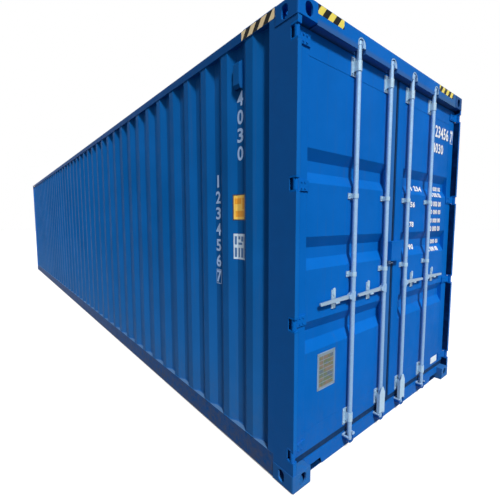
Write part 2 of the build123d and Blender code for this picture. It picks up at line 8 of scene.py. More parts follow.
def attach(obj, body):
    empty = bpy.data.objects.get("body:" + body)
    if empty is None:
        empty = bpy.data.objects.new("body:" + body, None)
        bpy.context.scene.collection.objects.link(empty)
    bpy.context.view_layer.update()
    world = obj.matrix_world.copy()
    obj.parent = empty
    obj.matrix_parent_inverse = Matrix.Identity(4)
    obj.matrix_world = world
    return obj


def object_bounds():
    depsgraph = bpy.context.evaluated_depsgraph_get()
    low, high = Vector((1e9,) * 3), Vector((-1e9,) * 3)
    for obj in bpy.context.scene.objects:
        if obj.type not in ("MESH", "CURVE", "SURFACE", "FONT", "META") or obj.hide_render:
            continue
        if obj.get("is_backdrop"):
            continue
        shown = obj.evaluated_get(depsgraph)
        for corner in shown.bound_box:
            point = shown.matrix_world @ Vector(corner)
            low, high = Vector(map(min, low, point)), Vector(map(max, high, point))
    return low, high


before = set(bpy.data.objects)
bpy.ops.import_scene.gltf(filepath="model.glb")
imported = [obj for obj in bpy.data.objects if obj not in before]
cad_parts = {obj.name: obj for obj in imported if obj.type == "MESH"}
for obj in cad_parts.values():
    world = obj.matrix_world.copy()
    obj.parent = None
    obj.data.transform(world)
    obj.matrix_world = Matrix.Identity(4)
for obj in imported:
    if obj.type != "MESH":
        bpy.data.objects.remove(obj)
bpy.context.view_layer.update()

# Sizes of the container that the dressing follows, in metres
HALF_LENGTH = 6.096
HALF_WIDTH = 1.219
LEAF_FRONT = HALF_LENGTH - 0.053
PANEL_FRONT = LEAF_FRONT - 0.001
HEADER_FACE = HALF_LENGTH - 0.003
RAIL_SIDE = HALF_WIDTH - 0.003
RAIL_TOP = 0.1705
TOP_RAIL_BOTTOM = 2.830

# Corrugation of the side walls: flats and slope along the wall, and depth
WALL_OUTER = RAIL_SIDE - 0.0025
WALL_DEPTH = 0.036
OUTER_FLAT = 0.072
INNER_FLAT = 0.070
WALL_SLOPE = 0.068
WALL_PITCH = OUTER_FLAT + INNER_FLAT + 2 * WALL_SLOPE
FIRST_OUTER_FLAT = 5.674
WALL_DOOR_END = 5.866
WALL_CLOSED_END = -5.918

# Counts of pitches from the first outer flat, enough for the whole wall
WALL_TURNS = range(-50, 3)

# Troughs of the door panels: levels, and flat, slope and depth
TROUGHS = (0.9365, 1.4695, 2.0025)
TROUGH_FLAT = 0.070
TROUGH_SLOPE = 0.068
TROUGH_DEPTH = 0.036

# Thickness of a film, width of a printed line, and the gap behind print on a door panel
STICKER = 0.0004
LINE = 0.005
PRINT_LIFT = 0.0022

# Noise level above which paint chips, and how much of that noise the edge of a chip takes
CHIP_LEVEL = 0.735
CHIP_EDGE = 0.012

# Hazard tape: length of a dark and a light band together, slant, and start in such lengths
TAPE_PITCH = 0.098
TAPE_SLANT = 0.75
TAPE_START = 40.36


def linear(red, green, blue):
    """A colour given as 0 to 255 screen values, as linear values for a shader."""
    values = []
    for channel in (red, green, blue):
        share = channel / 255
        low = share / 12.92
        high = ((share + 0.055) / 1.055) ** 2.4
        values.append(low if share <= 0.04045 else high)
    return (*values, 1)


class Material:
    """A node material with short calls for the nodes used here."""

    def __init__(self, name, specular, metallic=0.0):
        self.material = bpy.data.materials.new(name)
        self.material.use_nodes = True
        self.tree = self.material.node_tree
        self.shader = self.tree.nodes["Principled BSDF"]
        self.shader.inputs["Metallic"].default_value = metallic
        self.shader.inputs["Specular IOR Level"].default_value = specular
        self.place = self.add("ShaderNodeTexCoord").outputs["Object"]

    def add(self, kind, **settings):
        node = self.tree.nodes.new(kind)
        for key, value in settings.items():
            setattr(node, key, value)
        return node

    def put(self, socket, value):
        """Links an output to a socket, or writes a plain value on it."""
        if isinstance(value, bpy.types.NodeSocket):
            self.tree.links.new(value, socket)
        else:
            socket.default_value = value

    def scaled(self, x, y, z):
        """The object's own coordinates, stretched."""
        node = self.add("ShaderNodeMapping")
        self.put(node.inputs["Vector"], self.place)
        node.inputs["Scale"].default_value = (x, y, z)
        return node.outputs["Vector"]

    def noise(self, scale, detail, rough=0.55, place=None):
        node = self.add("ShaderNodeTexNoise")
        self.put(node.inputs["Vector"], self.place if place is None else place)
        node.inputs["Scale"].default_value = scale
        node.inputs["Detail"].default_value = detail
        node.inputs["Roughness"].default_value = rough
        return node.outputs["Fac"]

    def cells(self, scale):
        """Small cells, each of one random colour."""
        node = self.add("ShaderNodeTexVoronoi")
        self.put(node.inputs["Vector"], self.place)
        node.inputs["Scale"].default_value = scale
        return node.outputs["Color"]

    def fit(self, value, low, high, to_low=0.0, to_high=1.0):
        """A value's range low to high spread over another range, held at its ends."""
        node = self.add("ShaderNodeMapRange")
        self.put(node.inputs["Value"], value)
        node.inputs["From Min"].default_value = low
        node.inputs["From Max"].default_value = high
        node.inputs["To Min"].default_value = to_low
        node.inputs["To Max"].default_value = to_high
        return node.outputs["Result"]

    def calc(self, operation, first, second=0.0):
        node = self.add("ShaderNodeMath", operation=operation)
        self.put(node.inputs[0], first)
        self.put(node.inputs[1], second)
        return node.outputs["Value"]

    def mix(self, share, first, second):
        node = self.add("ShaderNodeMix", data_type="RGBA")
        self.put(node.inputs["Factor"], share)
        self.put(node.inputs[6], first)
        self.put(node.inputs[7], second)
        return node.outputs[2]

    def part(self, axis, vector=None):
        """One axis of a vector, by default of the object's coordinates."""
        node = self.add("ShaderNodeSeparateXYZ")
        self.put(node.inputs["Vector"], self.place if vector is None else vector)
        return node.outputs[axis]

    def bump(self, height, distance, strength, normal=None):
        node = self.add("ShaderNodeBump")
        node.inputs["Strength"].default_value = strength
        node.inputs["Distance"].default_value = distance
        self.put(node.inputs["Height"], height)
        if normal is not None:
            self.put(node.inputs["Normal"], normal)
        return node.outputs["Normal"]

    def rounded(self, radius):
        """A normal that rounds off the edges by a radius."""
        node = self.add("ShaderNodeBevel", samples=4)
        node.inputs["Radius"].default_value = radius
        return node.outputs["Normal"]

    def finish(self, colour, roughness, normal):
        """The material, once its colour, roughness and normal are linked."""
        self.put(self.shader.inputs["Base Color"], colour)
        self.put(self.shader.inputs["Roughness"], roughness)
        self.put(self.shader.inputs["Normal"], normal)
        return self.material


def paint(name, base, waviness, dirt, chips, *films):
    """Sprayed enamel on steel: cloudy shade, rain streaks, dust, chips that rust.

    Each film is a place, given as a function of the material, and a colour that covers it; several
    films are painted shade.
    """
    m = Material(name, specular=0.02)
    dark = tuple(c * 0.88 for c in base[:3]) + (1,)
    pale = tuple(min(1, c * 1.08 + 0.002) for c in base[:3]) + (1,)
    cloud = m.noise(1.3, 5, 0.6)
    colour = m.mix(m.fit(cloud, 0.3, 0.7), dark, pale)
    streaks = m.noise(1.0, 6, 0.7, m.scaled(28, 28, 0.7))
    streak_share = m.fit(streaks, 0.56, 0.78, 0, dirt)
    colour = m.mix(streak_share, colour, linear(70, 84, 100))
    low = m.fit(m.part("Z"), 0.0, 0.55, dirt, 0)
    splash = m.calc("MULTIPLY", low, m.fit(m.noise(22, 6, 0.7), 0.35, 0.7))
    colour = m.mix(splash, colour, linear(96, 92, 84))
    scuffs = m.noise(3.0, 8, 0.8, m.scaled(5, 5, 40))
    scuff_share = m.fit(scuffs, 0.66, 0.72, 0, 0.35 * dirt)
    colour = m.mix(scuff_share, colour, linear(120, 150, 180))
    spots = m.noise(34, 7, 0.72)
    places = m.noise(1.7, 3, 0.5)
    edge = CHIP_LEVEL - chips
    chip = m.calc(
        "MULTIPLY", m.fit(spots, edge, edge + CHIP_EDGE), m.fit(places, 0.45, 0.6)
    )
    rust = m.mix(m.noise(160, 3), linear(92, 44, 22), linear(150, 88, 48))
    colour = m.mix(chip, colour, rust)
    for place, film in films:
        share = m.calc("MULTIPLY", place(m), m.fit(m.noise(14, 5, 0.6), 0.2, 0.6, 0.8, 1.0))
        colour = m.mix(share, colour, film)
    rough = m.fit(m.noise(9, 6, 0.65), 0.3, 0.7, 0.38, 0.54)
    rough = m.calc("ADD", rough, m.calc("MULTIPLY", splash, 0.3))
    rough = m.calc("ADD", rough, m.calc("MULTIPLY", chip, 0.35))
    normal = m.bump(m.noise(1.9, 2, 0.4), waviness, 1.0, m.rounded(0.004))
    normal = m.bump(m.noise(420, 2, 0.5), 0.00012, 0.5, normal)
    normal = m.bump(chip, -0.0004, 1.0, normal)
    return m.finish(colour, rough, normal)


def galvanised(name, base, metallic, roughness, low_tint):
    """Zinc-coated steel: spangle, grey bloom, a few rust freckles, a bluer tone low down."""
    m = Material(name, metallic=metallic, specular=0.5)
    dark = tuple(c * 0.91 for c in base[:3]) + (1,)
    pale = tuple(min(1, c * 1.06) for c in base[:3]) + (1,)
    spangle = m.part("X", m.cells(95))
    colour = m.mix(m.fit(spangle, 0.1, 0.9), dark, pale)
    bloom = m.fit(m.noise(7, 5, 0.65), 0.35, 0.7, 0, 0.55)
    colour = m.mix(bloom, colour, base)
    freckle = m.calc(
        "MULTIPLY", m.fit(m.noise(60, 6, 0.7), 0.63, 0.68), m.fit(m.noise(4, 3), 0.5, 0.62)
    )
    colour = m.mix(m.calc("MULTIPLY", freckle, 0.7), colour, linear(134, 92, 60))
    low = m.fit(m.part("Z"), 1.9, 0.7, 0, low_tint)
    colour = m.mix(low, colour, linear(84, 120, 164))
    rough = m.fit(spangle, 0, 1, roughness - 0.09, roughness + 0.09)
    rough = m.calc("ADD", rough, m.calc("MULTIPLY", freckle, 0.3))
    normal = m.bump(spangle, 0.0001, 0.35, m.rounded(0.0015))
    normal = m.bump(m.noise(180, 4, 0.6), 0.0003, 0.35, normal)
    return m.finish(colour, rough, normal)


def rubber():
    """Dark door seal with blue overspray: fine grain, dust in places."""
    m = Material("door_rubber_look", specular=0.15)
    dust = m.fit(m.noise(24, 6, 0.7), 0.45, 0.75, 0, 0.5)
    colour = m.mix(dust, linear(2, 44, 86), linear(16, 64, 108))
    rough = m.fit(m.noise(40, 4), 0.3, 0.7, 0.62, 0.85)
    normal = m.bump(m.noise(300, 3, 0.6), 0.0004, 0.5, m.rounded(0.003))
    return m.finish(colour, rough, normal)


def plywood():
    """Floor boards: long grain, veneer patches, boot and forklift scuffs."""
    m = Material("plywood_look", specular=0.3)
    grain = m.noise(3.2, 8, 0.7, m.scaled(1.2, 34, 30))
    colour = m.mix(m.fit(grain, 0.3, 0.7), linear(104, 70, 44), linear(168, 124, 82))
    patch = m.fit(m.noise(0.9, 2, 0.5), 0.35, 0.65, 0, 0.5)
    colour = m.mix(patch, colour, linear(132, 90, 60))
    scuff = m.fit(m.noise(2.2, 8, 0.75, m.scaled(0.8, 9, 9)), 0.58, 0.75, 0, 0.7)
    colour = m.mix(scuff, colour, linear(60, 48, 40))
    rough = m.fit(grain, 0.2, 0.8, 0.5, 0.72)
    normal = m.bump(grain, 0.0008, 0.6)
    return m.finish(colour, rough, normal)


def printed(name, base, worn=0.15):
    """Vinyl film or stencil paint: slightly faded, with worn specks."""
    m = Material(name, specular=0.4)
    faded = tuple(c * 0.84 for c in base[:3]) + (1,)
    colour = m.mix(m.fit(m.noise(18, 5, 0.6), 0.35, 0.7), base, faded)
    speck = m.fit(m.noise(120, 5, 0.7), 0.66, 0.71, 0, worn)
    colour = m.mix(speck, colour, linear(60, 92, 140))
    rough = m.fit(m.noise(30, 4), 0.3, 0.7, 0.36, 0.55)
    normal = m.bump(m.noise(260, 3, 0.5), 0.0001, 0.4)
    return m.finish(colour, rough, normal)


def mottled(name):
    """Faded fields of a data plate: brown, green and grey patches."""
    m = Material(name, specular=0.2)
    patch = m.noise(11, 3, 0.5, m.scaled(1, 1, 2.5))
    colour = m.mix(m.fit(patch, 0.40, 0.50), linear(118, 106, 98), linear(94, 108, 82))
    colour = m.mix(m.fit(patch, 0.52, 0.60), colour, linear(84, 100, 118))
    spot = m.fit(m.noise(46, 3, 0.5), 0.60, 0.66, 0, 0.6)
    colour = m.mix(spot, colour, linear(150, 116, 82))
    rough = m.fit(m.noise(60, 4), 0.3, 0.7, 0.45, 0.6)
    normal = m.bump(m.noise(260, 3, 0.5), 0.0001, 0.4)
    return m.finish(colour, rough, normal)


def striped(name, light, deep):
    """Hazard tape: slanting yellow and black bands along X or Y."""
    m = Material(name, specular=0.1)
    run = m.calc("ADD", m.part("X"), m.part("Y"))
    slant = m.calc("SUBTRACT", run, m.calc("MULTIPLY", m.part("Z"), TAPE_SLANT))
    turns = m.calc("MULTIPLY", slant, 1 / TAPE_PITCH)
    wave = m.calc("FRACT", m.calc("ADD", turns, TAPE_START))
    band = m.fit(wave, 0.495, 0.505)
    yellow = m.mix(m.fit(m.noise(16, 5), 0.3, 0.7), light, deep)
    colour = m.mix(band, yellow, linear(6, 8, 10))
    rough = m.fit(m.noise(30, 4), 0.3, 0.7, 0.34, 0.5)
    normal = m.bump(m.noise(260, 3, 0.5), 0.0001, 0.4)
    return m.finish(colour, rough, normal)


BLUE = linear(4, 100, 190)
# Blue of the walls, darker than the doors' blue as painted shade
SHADED_WALL_BLUE = linear(11, 92, 165)
# Dark blue painted shade for recesses: the door jambs and the inside of the hollow sill
RECESS_SHADE = linear(4, 26, 62)


def shaded_jamb(m):
    """Where a rear post faces the door's edge, darkened there as painted shade."""
    return m.fit(m.calc("ABSOLUTE", m.part("Y")), 1.1847, 1.1843)


def shaded_post_side(m):
    """The face of a post or a casting that lies in line with the side wall, darkened there as
    painted shade.
    """
    return m.fit(m.calc("ABSOLUTE", m.part("Y")), 1.2154, 1.2156, 0, 0.8)


def shaded_sill_hollow(m):
    """Inside the hollow sill, darkened there as painted shade."""
    behind = m.fit(m.part("X"), 6.0389, 6.0387)
    above = m.fit(m.part("Z"), 0.014, 0.0145)
    below = m.fit(m.part("Z"), 0.1179, 0.1176)
    return m.calc("MULTIPLY", m.calc("MULTIPLY", behind, above), below)


def header_lip(m):
    """The lower edge of the header's face."""
    return m.fit(m.part("Z"), 2.814, 2.790, 0, 0.6)


def header_end(m):
    """The right end of the header, which is duller."""
    return m.fit(m.part("Y"), 0.55, 0.80, 0, 0.6)


def shaded_right_casting(m):
    """The right upper casting of the door end, darkened there as painted shade."""
    at_doors = m.fit(m.part("X"), 6.00, 6.05)
    return m.calc("MULTIPLY", at_doors, m.fit(m.part("Y"), 1.02, 1.05, 0, 0.85))


def seam_stile(m):
    """The strip of the left leaf beside the seam."""
    across = m.part("Y")
    near_seam = m.fit(across, -0.020, -0.022, 0, 0.5)
    return m.calc("MULTIPLY", m.fit(across, -0.136, -0.130), near_seam)


def lighter_wall_foot(m):
    """The lower half of a wall, made lighter towards the bottom."""
    return m.fit(m.part("Z"), 1.5, 0.3, 0, 0.3)


def rail_ledge_dust_and_highlight(m):
    """The top of a bottom rail, lighter with dust and with a painted highlight."""
    share = m.fit(m.part("Z"), 0.1694, 0.1700)
    return m.calc("MULTIPLY", share, m.fit(m.part("Z"), 0.30, 0.29))


def keeper_paint(name):
    """A keeper in a darker blue than the sill, zinc at its ragged rim."""
    m = Material(name, specular=0.1)
    ragged = m.calc("ADD", m.part("Z"), m.calc("MULTIPLY", m.noise(60, 5, 0.6), 0.006))
    worn = m.fit(ragged, 0.113, 0.116)
    blue = m.mix(m.fit(m.noise(12, 5, 0.6), 0.3, 0.7), linear(4, 70, 140), linear(8, 92, 176))
    zinc_tone = m.mix(m.noise(80, 4), linear(140, 176, 214), linear(170, 204, 238))
    colour = m.mix(worn, blue, zinc_tone)
    rough = m.fit(m.noise(30, 4), 0.3, 0.7, 0.4, 0.6)
    normal = m.bump(m.noise(200, 3, 0.5), 0.0002, 0.4, m.rounded(0.0015))
    return m.finish(colour, rough, normal)


blue_walls = paint(
    "blue_wall_paint", SHADED_WALL_BLUE, 0.006, 0.30, 0.0, (lighter_wall_foot, linear(56, 110, 168))
)
blue_frame = paint("blue_frame_paint", BLUE, 0.002, 0.20, 0.02)
# Castings: painted shade on their outer side faces
blue_castings = paint(
    "blue_casting_paint", linear(28, 106, 184), 0.002, 0.30, 0.03, (shaded_post_side, linear(30, 88, 154))
)
# Upper castings: painted shade on their outer side faces and on the right casting's door face
blue_upper_castings = paint(
    "blue_upper_casting_paint", BLUE, 0.002, 0.20, 0.02,
    (shaded_post_side, linear(24, 82, 150)), (shaded_right_casting, linear(32, 70, 122)),
)
blue_header = paint(
    "blue_header_paint", BLUE, 0.002, 0.20, 0.02,
    (header_lip, linear(66, 96, 138)), (header_end, linear(58, 98, 138)),
)
# Posts: painted shade on the jambs and on their outer side faces
blue_posts = paint(
    "blue_post_paint", linear(12, 104, 190), 0.002, 0.20, 0.02,
    (shaded_jamb, RECESS_SHADE), (shaded_post_side, linear(24, 82, 150)),
)
# The sill: painted shade inside its hollow
blue_sill = paint("blue_sill_paint", BLUE, 0.002, 0.14, 0.02, (shaded_sill_hollow, RECESS_SHADE))
sill_keepers = keeper_paint("sill_keeper_paint")
# Rails: dust and a painted highlight on the ledge of each bottom rail
blue_rails = paint(
    "blue_rail_paint", linear(12, 78, 146), 0.002, 0.70, 0.04, (rail_ledge_dust_and_highlight, linear(78, 118, 164))
)
blue_doors = paint("blue_door_paint", BLUE, 0.003, 0.22, 0.0, (seam_stile, linear(54, 104, 156)))
zinc = galvanised("galvanised_steel_look", linear(146, 184, 222), 0.30, 0.46, 0.3)
bracket_zinc = galvanised("bracket_steel_look", linear(163, 195, 218), 0.30, 0.46, 0.0)
handle_zinc = galvanised("handle_steel_look", linear(146, 172, 196), 0.35, 0.46, 0.0)
seal = rubber()
boards = plywood()
white_print = printed("white_stencil_look", linear(240, 244, 248))
# White stencil tinted blue as painted shade, for the side walls
shaded_side_print = printed("shaded_stencil_look", linear(172, 208, 254))
label_white = printed("white_label_look", linear(222, 236, 246), 0.05)
# White label made darker and bluer as painted shade, for the side walls
label_shaded_white = printed("shaded_white_label_look", linear(206, 226, 244), 0.05)
label_blue = printed("blue_field_look", linear(70, 112, 164), 0.0)
label_yellow = printed("yellow_label_look", linear(246, 202, 92), 0.05)
label_amber = printed("amber_field_look", linear(232, 158, 40), 0.05)
# Dark lines round the yellow labels, as painted shadow
label_shadow_line = printed("shadow_line_look", linear(22, 40, 66), 0.0)
plate_rows = mottled("plate_row_look")
plate_metal = galvanised("plate_metal_look", linear(112, 132, 146), 0.2, 0.42, 0.0)
plate_rim = printed("plate_rim_look", linear(126, 158, 196), 0.05)
hazard = striped("hazard_tape_look", linear(240, 222, 100), linear(222, 204, 92))
side_hazard = striped("side_hazard_tape_look", linear(255, 236, 190), linear(252, 224, 176))

DOOR_NODES = ("door_frame", "door_panel", "door_hinges")
SHEET_NODES = ("side_wall", "front_wall", "roof")
RAIL_NODES = ("bottom_side_rails", "top_side_rails", "cross_members", "tunnel_outriggers")


def material_of(node):
    """The finish of a CAD node, by its name."""
    if "gasket" in node:
        return seal
    if node == "floor":
        return boards
    if node.endswith("_handle"):
        return handle_zinc
    if node == "sill_cam_keepers":
        return sill_keepers
    if "bracket" in node or "retainer" in node:
        return bracket_zinc
    if "locking_bar" in node or "keeper" in node:
        return zinc
    if node.endswith(SHEET_NODES) or node == "ventilators":
        return blue_walls
    if node.endswith(DOOR_NODES):
        return blue_doors
    if node in RAIL_NODES:
        return blue_rails
    if node == "rear_corner_posts":
        return blue_posts
    if node == "door_sill":
        return blue_sill
    if node == "door_header":
        return blue_header
    if node == "bottom_corner_castings":
        return blue_castings
    if node == "top_corner_castings":
        return blue_upper_castings
    return blue_frame


for name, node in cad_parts.items():
    node.data.materials.clear()
    node.data.materials.append(material_of(name))


def piece(name, mesh, material, body):
    """A finished mesh that rides on a CAD body."""
    shown = bpy.data.objects.new(name, mesh)
    bpy.context.collection.objects.link(shown)
    mesh.materials.clear()
    mesh.materials.append(material)
    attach(shown, body)
    return shown


def built(name, build, closed=True):
    """A mesh filled by a function that gets a bmesh."""
    mesh = bpy.data.meshes.new(name)
    work = bmesh.new()
    build(work)
    if closed:
        bmesh.ops.recalc_face_normals(work, faces=work.faces)
    work.to_mesh(mesh)
    work.free()
    return mesh


def add_box(work, low, high):
    """A box between two corners."""
    size = [b - a for a, b in zip(low, high)]
    centre = [(a + b) / 2 for a, b in zip(low, high)]
    matrix = Matrix.Translation(centre) @ Matrix.Diagonal((*size, 1))
    bmesh.ops.create_cube(work, size=1, matrix=matrix)


def add_bolt(work, centre, radius, thickness, sides, along):
    """A bolt or rivet head centred on a point, with its axis along X, Y or Z."""
    turns = {"X": ("Y", math.pi / 2), "Y": ("X", math.pi / 2), "Z": ("Z", 0)}
    axis, angle = turns[along]
    matrix = Matrix.Translation(centre) @ Matrix.Rotation(angle, 4, axis)
    bmesh.ops.create_cone(
        work, cap_ends=True, segments=sides, radius1=radius, radius2=radius * 0.82,
        depth=thickness, matrix=matrix,
    )


def wall_depth(x):
    """How far the side wall lies inside its outer flats at a place along it."""
    centre = FIRST_OUTER_FLAT
    away = abs((x - centre + WALL_PITCH / 2) % WALL_PITCH - WALL_PITCH / 2)
    share = (away - OUTER_FLAT / 2) / WALL_SLOPE
    return WALL_DEPTH * min(1, max(0, share))


def wall_bends(start, end):
    """Places between start and end where the side wall bends, with both ends."""
    places = [start, end]
    for turn in WALL_TURNS:
        centre = FIRST_OUTER_FLAT + turn * WALL_PITCH
        for away in (OUTER_FLAT / 2, OUTER_FLAT / 2 + WALL_SLOPE):
            for place in (centre - away, centre + away):
                if start < place < end:
                    places.append(place)
    return sorted(places)


def wall_label(name, side, x0, x1, z0, z1, material, lift=STICKER):
    """A film that follows the side wall's corrugation; side is -1 left, +1 right."""

    def build(work):
        columns = []
        for x in wall_bends(x0, x1):
            y = side * (WALL_OUTER - wall_depth(x) + lift)
            columns.append([work.verts.new((x, y, z)) for z in (z0, z1)])
        for first, second in zip(columns, columns[1:]):
            corners = (first[0], second[0], second[1], first[1])
            work.faces.new(corners if side < 0 else corners[::-1])

    return piece(name, built(name, build, closed=False), material, "frame")


def door_depth(z):
    """How far a door panel lies behind its front face at a height."""
    depth = 0
    for level in TROUGHS:
        share = (abs(z - level) - TROUGH_FLAT / 2) / TROUGH_SLOPE
        depth = max(depth, 1 - min(1, max(0, share)))
    return TROUGH_DEPTH * depth


# Plain numbers: height as a share of the type size, spacing, and added weight of the strokes
DIGIT_SHARE = 0.73
DIGIT_SPACING = 1.08
PLAIN_WEIGHT = 0.034
BOLD_WEIGHT = 0.055


def digits(text, height, weight=PLAIN_WEIGHT):
    """Flat mesh of plain numbers with its low left corner at the origin, and its width."""
    curve = bpy.data.curves.new("digits", "FONT")
    curve.body = text
    curve.size = height / DIGIT_SHARE
    curve.space_character = DIGIT_SPACING
    curve.offset = height * weight
    curve.resolution_u = 3
    holder = bpy.data.objects.new("digits", curve)
    mesh = bpy.data.meshes.new_from_object(holder)
    bpy.data.objects.remove(holder)
    xs = [v.co.x for v in mesh.vertices]
    ys = [v.co.y for v in mesh.vertices]
    for v in mesh.vertices:
        v.co.x -= min(xs)
        v.co.y -= min(ys)
    return mesh, max(xs) - min(xs)


def door_digits(name, text, y, z, height, width, weight=PLAIN_WEIGHT):
    """Numbers across the right door, stretched to a width and laid into the troughs."""
    mesh, natural = digits(text, height, weight)
    for v in mesh.vertices:
        level = z + v.co.y
        across = y + v.co.x * width / natural
        v.co = (PANEL_FRONT - door_depth(level) + STICKER + PRINT_LIFT, across, level)
    return piece(name, mesh, white_print, "right_door")


# Numbers on the side walls: step from digit to digit, and the most that one is widened
DIGIT_STEP = 0.122
MOST_STRETCH = 1.25


def side_digits(name, side, x, text, z_top, height, width):
    """Numbers one under another on an inner flat of a side wall."""
    parts = bmesh.new()
    for row, sign in enumerate(text):
        mesh, natural = digits(sign, height)
        stretch = min(width / natural, MOST_STRETCH)
        y = side * (WALL_OUTER - WALL_DEPTH + STICKER)
        for v in mesh.vertices:
            across = (v.co.x - natural / 2) * stretch
            v.co = (x - side * across, y, z_top - height - row * DIGIT_STEP + v.co.y)
        parts.from_mesh(mesh)
    mesh = bpy.data.meshes.new(name)
    parts.to_mesh(mesh)
    parts.free()
    return piece(name, mesh, shaded_side_print, "frame")


def plate_piece(name, low, high, material, body):
    """A thin flat piece between two corners."""
    return piece(name, built(name, lambda work: add_box(work, low, high)), material, body)


def outline(u0, u1, v0, v1):
    """Four thin lines round the inside of a rectangle: bottom, top, left, right."""
    return (
        (u0, u1, v0, v0 + LINE), (u0, u1, v1 - LINE, v1),
        (u0, u0 + LINE, v0, v1), (u1 - LINE, u1, v0, v1),
    )


# Hazard tape on the header and on the top rails beside the roof plates
HEADER_TAPES = (("left", -1.05, -0.80), ("right", 0.66, 0.99))
HEADER_TAPE_LOW = 2.836
RAIL_TAPES = (("door", 5.60, 5.91), ("closed", -5.91, -5.60))
RAIL_TAPE_LOW = 2.834
TAPE_HIGH = 2.888
for side_name, y0, y1 in HEADER_TAPES:
    low = (HEADER_FACE, y0, HEADER_TAPE_LOW)
    high = (HEADER_FACE + STICKER, y1, TAPE_HIGH)
    plate_piece(f"header_tape_{side_name}", low, high, hazard, "frame")
for side_name, side in (("left", -1), ("right", 1)):
    for end_name, x0, x1 in RAIL_TAPES:
        y0, y1 = sorted((side * RAIL_SIDE, side * (RAIL_SIDE + STICKER)))
        low, high = (x0, y0, RAIL_TAPE_LOW), (x1, y1, TAPE_HIGH)
        plate_piece(f"{side_name}_rail_tape_{end_name}_end", low, high, side_hazard, "frame")

# Marks on each side wall, on the second and third inner flat from the right as seen outside
INNER_FLAT_NEAR = FIRST_OUTER_FLAT - WALL_PITCH / 2
INNER_FLAT_FAR = INNER_FLAT_NEAR - 40 * WALL_PITCH
WALL_MARKS = (
    ("left", -1, INNER_FLAT_NEAR, INNER_FLAT_NEAR - WALL_PITCH),
    ("right", 1, INNER_FLAT_FAR, INNER_FLAT_FAR + WALL_PITCH),
)

# Numbers of each side wall: text, level of the top, height and width of a digit
UPPER_NUMBERS = ("4030", 2.548, 0.095, 0.066)
LOWER_NUMBERS = ("1234567", 2.018, 0.092, 0.064)

# Labels of each side wall: half width and levels, and lines and fields from the label's middle
YELLOW_HALF, YELLOW_LOW, YELLOW_HIGH = 0.062, 1.682, 1.850
WHITE_HALF, WHITE_LOW, WHITE_HIGH = 0.064, 1.398, 1.580
EDGE = 0.008
YELLOW_EDGE = YELLOW_HALF + EDGE
# Dark lines round each yellow label, drawn as painted shadow
YELLOW_SHADOW_LINES = (
    (-YELLOW_EDGE, YELLOW_EDGE, YELLOW_HIGH, YELLOW_HIGH + EDGE),
    (-YELLOW_EDGE, YELLOW_EDGE, YELLOW_LOW - EDGE, YELLOW_LOW),
    (-YELLOW_EDGE, -YELLOW_HALF, YELLOW_LOW, YELLOW_HIGH),
    (YELLOW_HALF, YELLOW_EDGE, YELLOW_LOW, YELLOW_HIGH),
)
AMBER_FIELDS = (
    (-0.054, 0.010, 1.790, 1.830), (-0.048, 0.040, 1.700, 1.742), (0.020, 0.050, 1.752, 1.830),
)
BLUE_FIELDS = (
    (-0.056, -0.040, 1.502, 1.562), (-0.026, -0.004, 1.540, 1.562),
    (-0.026, 0.018, 1.502, 1.518), (0.006, 0.030, 1.526, 1.562),
    (-0.056, -0.040, 1.412, 1.480), (-0.026, -0.008, 1.412, 1.480),
    (0.004, 0.030, 1.412, 1.480), (0.040, 0.056, 1.412, 1.562),
)
LAST_DIGIT_HALF, LAST_DIGIT_LOW, LAST_DIGIT_HIGH = 0.034, 1.183, 1.297


def wall_fields(name, side, x, fields, material, lift=STICKER):
    """Numbered films on a side wall, each given from a place along it."""
    for row, (x0, x1, z0, z1) in enumerate(fields):
        wall_label(f"{name}_{row + 1}", side, x + x0, x + x1, z0, z1, material, lift)


for side_name, side, x, second in WALL_MARKS:
    side_digits(f"{side_name}_side_numbers_upper", side, x, *UPPER_NUMBERS)
    side_digits(f"{side_name}_side_numbers_lower", side, second, *LOWER_NUMBERS)
    for label, half, z0, z1, look in (
        ("yellow", YELLOW_HALF, YELLOW_LOW, YELLOW_HIGH, label_yellow),
        ("white", WHITE_HALF, WHITE_LOW, WHITE_HIGH, label_shaded_white),
    ):
        wall_label(f"{side_name}_{label}_label", side, x - half, x + half, z0, z1, look)

for side_name, side, x, second in WALL_MARKS:
    yellow, white = f"{side_name}_yellow_label", f"{side_name}_white_label"
    wall_fields(f"{yellow}_edge", side, x, YELLOW_SHADOW_LINES, label_shadow_line)
    wall_fields(f"{yellow}_field", side, x, AMBER_FIELDS, label_amber, STICKER * 2)
    wall_fields(f"{white}_field", side, x, BLUE_FIELDS, label_blue, STICKER * 2)

# A thin frame round the last digit of each long number
for side_name, side, x, second in WALL_MARKS:
    lines = outline(-LAST_DIGIT_HALF, LAST_DIGIT_HALF, LAST_DIGIT_LOW, LAST_DIGIT_HIGH)
    wall_fields(f"{side_name}_digit_frame", side, second, lines, shaded_side_print)

# Upper numbers of the right door: text, place, level, height and width
DOOR_NUMBERS = (
    ("top", "123456 7", 0.690, 2.455, 0.106, 0.465),
    ("second", "4030", 0.690, 2.312, 0.088, 0.245),
)
for label, *numbers in DOOR_NUMBERS:
    door_digits(f"door_numbers_{label}", *numbers)

